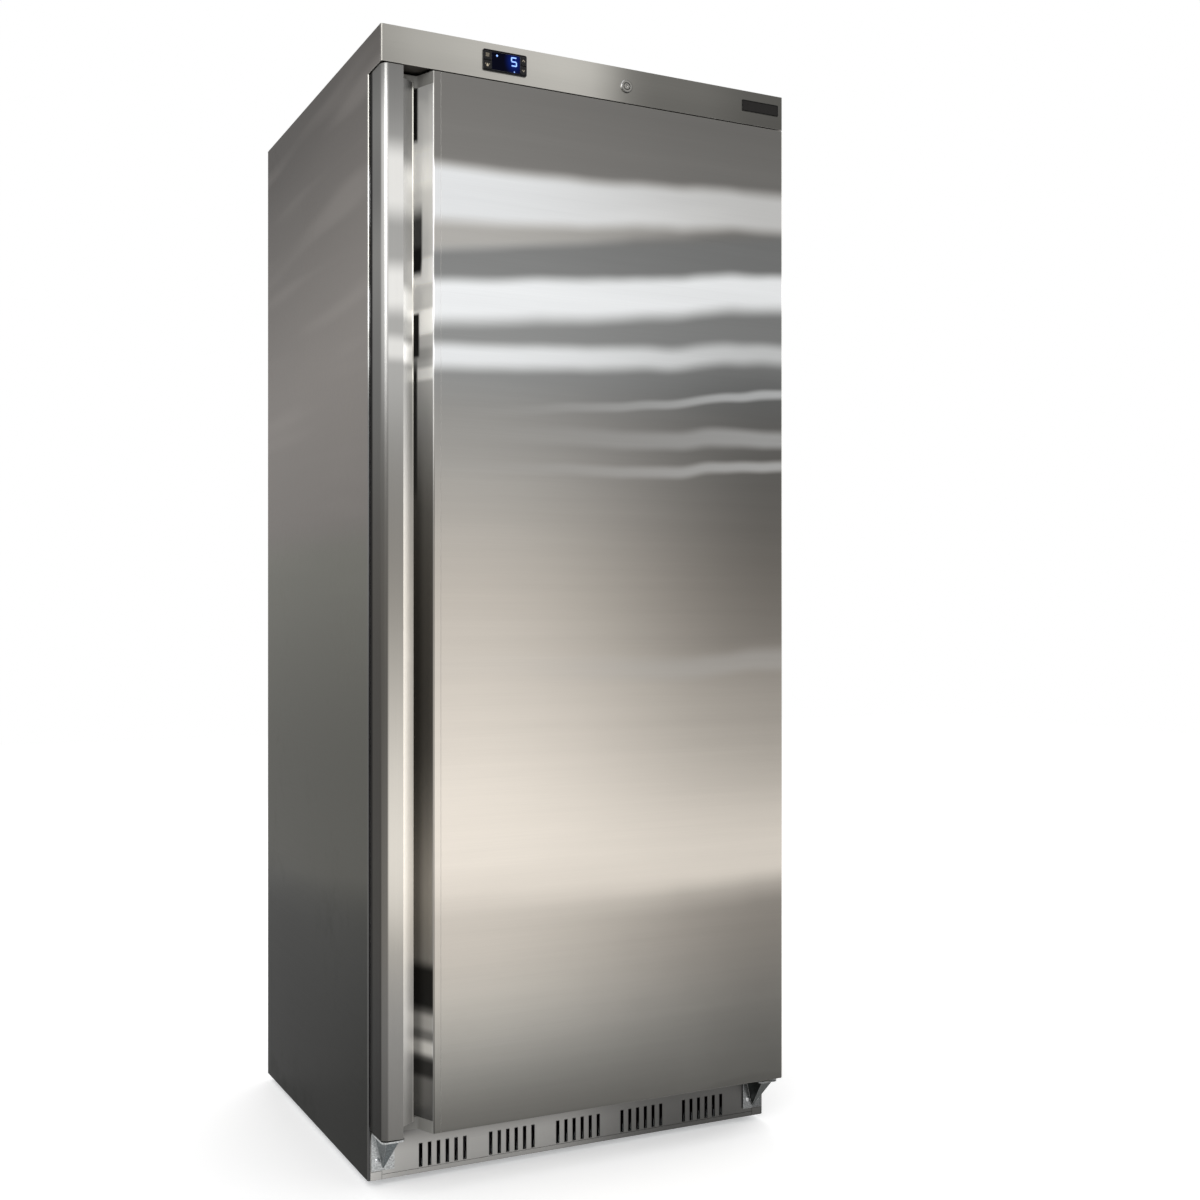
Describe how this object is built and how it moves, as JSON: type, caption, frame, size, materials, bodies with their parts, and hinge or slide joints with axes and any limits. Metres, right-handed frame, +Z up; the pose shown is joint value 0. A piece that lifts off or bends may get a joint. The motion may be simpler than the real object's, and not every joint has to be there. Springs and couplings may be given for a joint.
{
  "type": "commercial upright refrigerator",
  "caption": "Tall stainless upright refrigerator: solid hinged door with a full-height finger-grip profile, control fascia with lock on top, slotted kick panel below.",
  "frame": {"origin": "on the floor, under the middle of the cabinet's width and of its overall depth", "axes": "+Z up; the door faces -Y; +X towards the hinge side, which is on the right seen from the front"},
  "size_m": [0.777, 0.695, 1.895],
  "materials": {
    "stainless": "satin",
    "zinc_steel": "satin",
    "galvanised": "satin",
    "chromed": "polished",
    "black_plastic": "gloss",
    "grey_plastic": "satin",
    "white_liner": "satin",
    "gasket_rubber": "matte",
    "key_plastic": "satin",
    "display_blue": "gloss",
    "lit_blue": "gloss",
    "plate_grey": "satin",
    "foam": "matte",
    "coated_wire": "satin",
    "nylon": "satin",
    "white_plastic": "satin",
    "black_steel": "satin",
    "fin_aluminium": "satin",
    "copper": "satin",
    "fan_grey": "satin"
  },
  "bodies": {
    "cabinet": {"side_panel_left": "stainless", "side_panel_right": "stainless", "top_panel": "stainless", "rear_panel": "galvanised", "underfloor_sheet": "galvanised", "base_tray": "galvanised", "front_frame": "stainless", "foam_left": "foam", "foam_right": "foam", "foam_top": "foam", "foam_back": "foam", "foam_floor": "foam", "inner_liner": "white_liner", "kick_panel": "stainless", "kick_rail": "stainless", "fascia_panel": "stainless", "bare_plate": "plate_grey", "controller_housing": "black_plastic", "display_window": "display_blue", "display_digits": "lit_blue", "lock_housing": "chromed", "hinge_bracket_right": "zinc_steel", "hinge_bracket_left": "zinc_steel", "top_hinge_plate": "zinc_steel", "bracket_screws": "chromed", "shelf_uprights": "stainless", "shelf_clips": "stainless", "wire_shelves": "coated_wire", "evaporator_cover": "white_plastic", "evaporator_coil": "fin_aluminium", "evaporator_fan_motor": "black_steel", "temperature_probe": "black_plastic", "compressor": "black_steel", "condenser_coil": "fin_aluminium", "condenser_fan_motor": "galvanised", "refrigerant_pipes": "copper", "evaporation_tray": "white_plastic", "rear_grille": "galvanised", "power_inlet": "black_plastic", "roller_forks": "zinc_steel"},
    "door": {"door_skin": "stainless", "handle_profile": "stainless", "door_foam": "foam", "door_top_cap": "grey_plastic", "door_bottom_cap": "grey_plastic", "door_liner": "white_liner", "door_gasket": "gasket_rubber", "hinge_bushes": "nylon"},
    "lock": {"lock_cylinder": "chromed"},
    "set_key": {"key_set": "key_plastic"},
    "defrost_key": {"key_defrost": "key_plastic"},
    "up_key": {"key_up": "key_plastic"},
    "down_key": {"key_down": "key_plastic"},
    "evaporator_fan_wheel": {"evaporator_fan": "fan_grey"},
    "condenser_fan_wheel": {"condenser_fan": "fan_grey"},
    "left_roller": {"rear_roller_left": "nylon"},
    "right_roller": {"rear_roller_right": "nylon"},
    "left_foot": {"levelling_foot_left": "zinc_steel"},
    "right_foot": {"levelling_foot_right": "zinc_steel"}
  },
  "joints": [
    {"name": "door_swing", "type": "hinge", "parent": "cabinet", "child": "door", "pos_m": [0.3635, -0.3225, 0.0985], "axis": [0, 0, 1], "range_deg": [0, 110]},
    {"name": "lock_turn", "type": "hinge", "parent": "cabinet", "child": "lock", "pos_m": [0.0615, -0.345, 1.8637], "axis": [0, 1, 0], "range_deg": [0, 90]},
    {"name": "set_key_press", "type": "slide", "parent": "cabinet", "child": "set_key", "axis": [0, 1, 0], "range_m": [0, 0.0005], "stiffness_N_per_m": 500, "springref_m": -0.001},
    {"name": "defrost_key_press", "type": "slide", "parent": "cabinet", "child": "defrost_key", "axis": [0, 1, 0], "range_m": [0, 0.0005], "stiffness_N_per_m": 500, "springref_m": -0.001},
    {"name": "up_key_press", "type": "slide", "parent": "cabinet", "child": "up_key", "axis": [0, 1, 0], "range_m": [0, 0.0005], "stiffness_N_per_m": 500, "springref_m": -0.001},
    {"name": "down_key_press", "type": "slide", "parent": "cabinet", "child": "down_key", "axis": [0, 1, 0], "range_m": [0, 0.0005], "stiffness_N_per_m": 500, "springref_m": -0.001},
    {"name": "evaporator_fan_spin", "type": "hinge", "parent": "cabinet", "child": "evaporator_fan_wheel", "pos_m": [0, 0.0725, 1.725], "axis": [0, 1, 0], "continuous": true},
    {"name": "condenser_fan_spin", "type": "hinge", "parent": "cabinet", "child": "condenser_fan_wheel", "pos_m": [-0.208, 0.1505, 0.1135], "axis": [0, 1, 0], "continuous": true},
    {"name": "left_roller_spin", "type": "hinge", "parent": "cabinet", "child": "left_roller", "pos_m": [-0.3265, 0.2895, 0.02], "axis": [1, 0, 0], "continuous": true},
    {"name": "right_roller_spin", "type": "hinge", "parent": "cabinet", "child": "right_roller", "pos_m": [0.3265, 0.2895, 0.02], "axis": [1, 0, 0], "continuous": true},
    {"name": "left_foot_height", "type": "slide", "parent": "cabinet", "child": "left_foot", "axis": [0, 0, 1], "range_m": [-0.012, 0]},
    {"name": "right_foot_height", "type": "slide", "parent": "cabinet", "child": "right_foot", "axis": [0, 0, 1], "range_m": [-0.012, 0]}
  ]
}
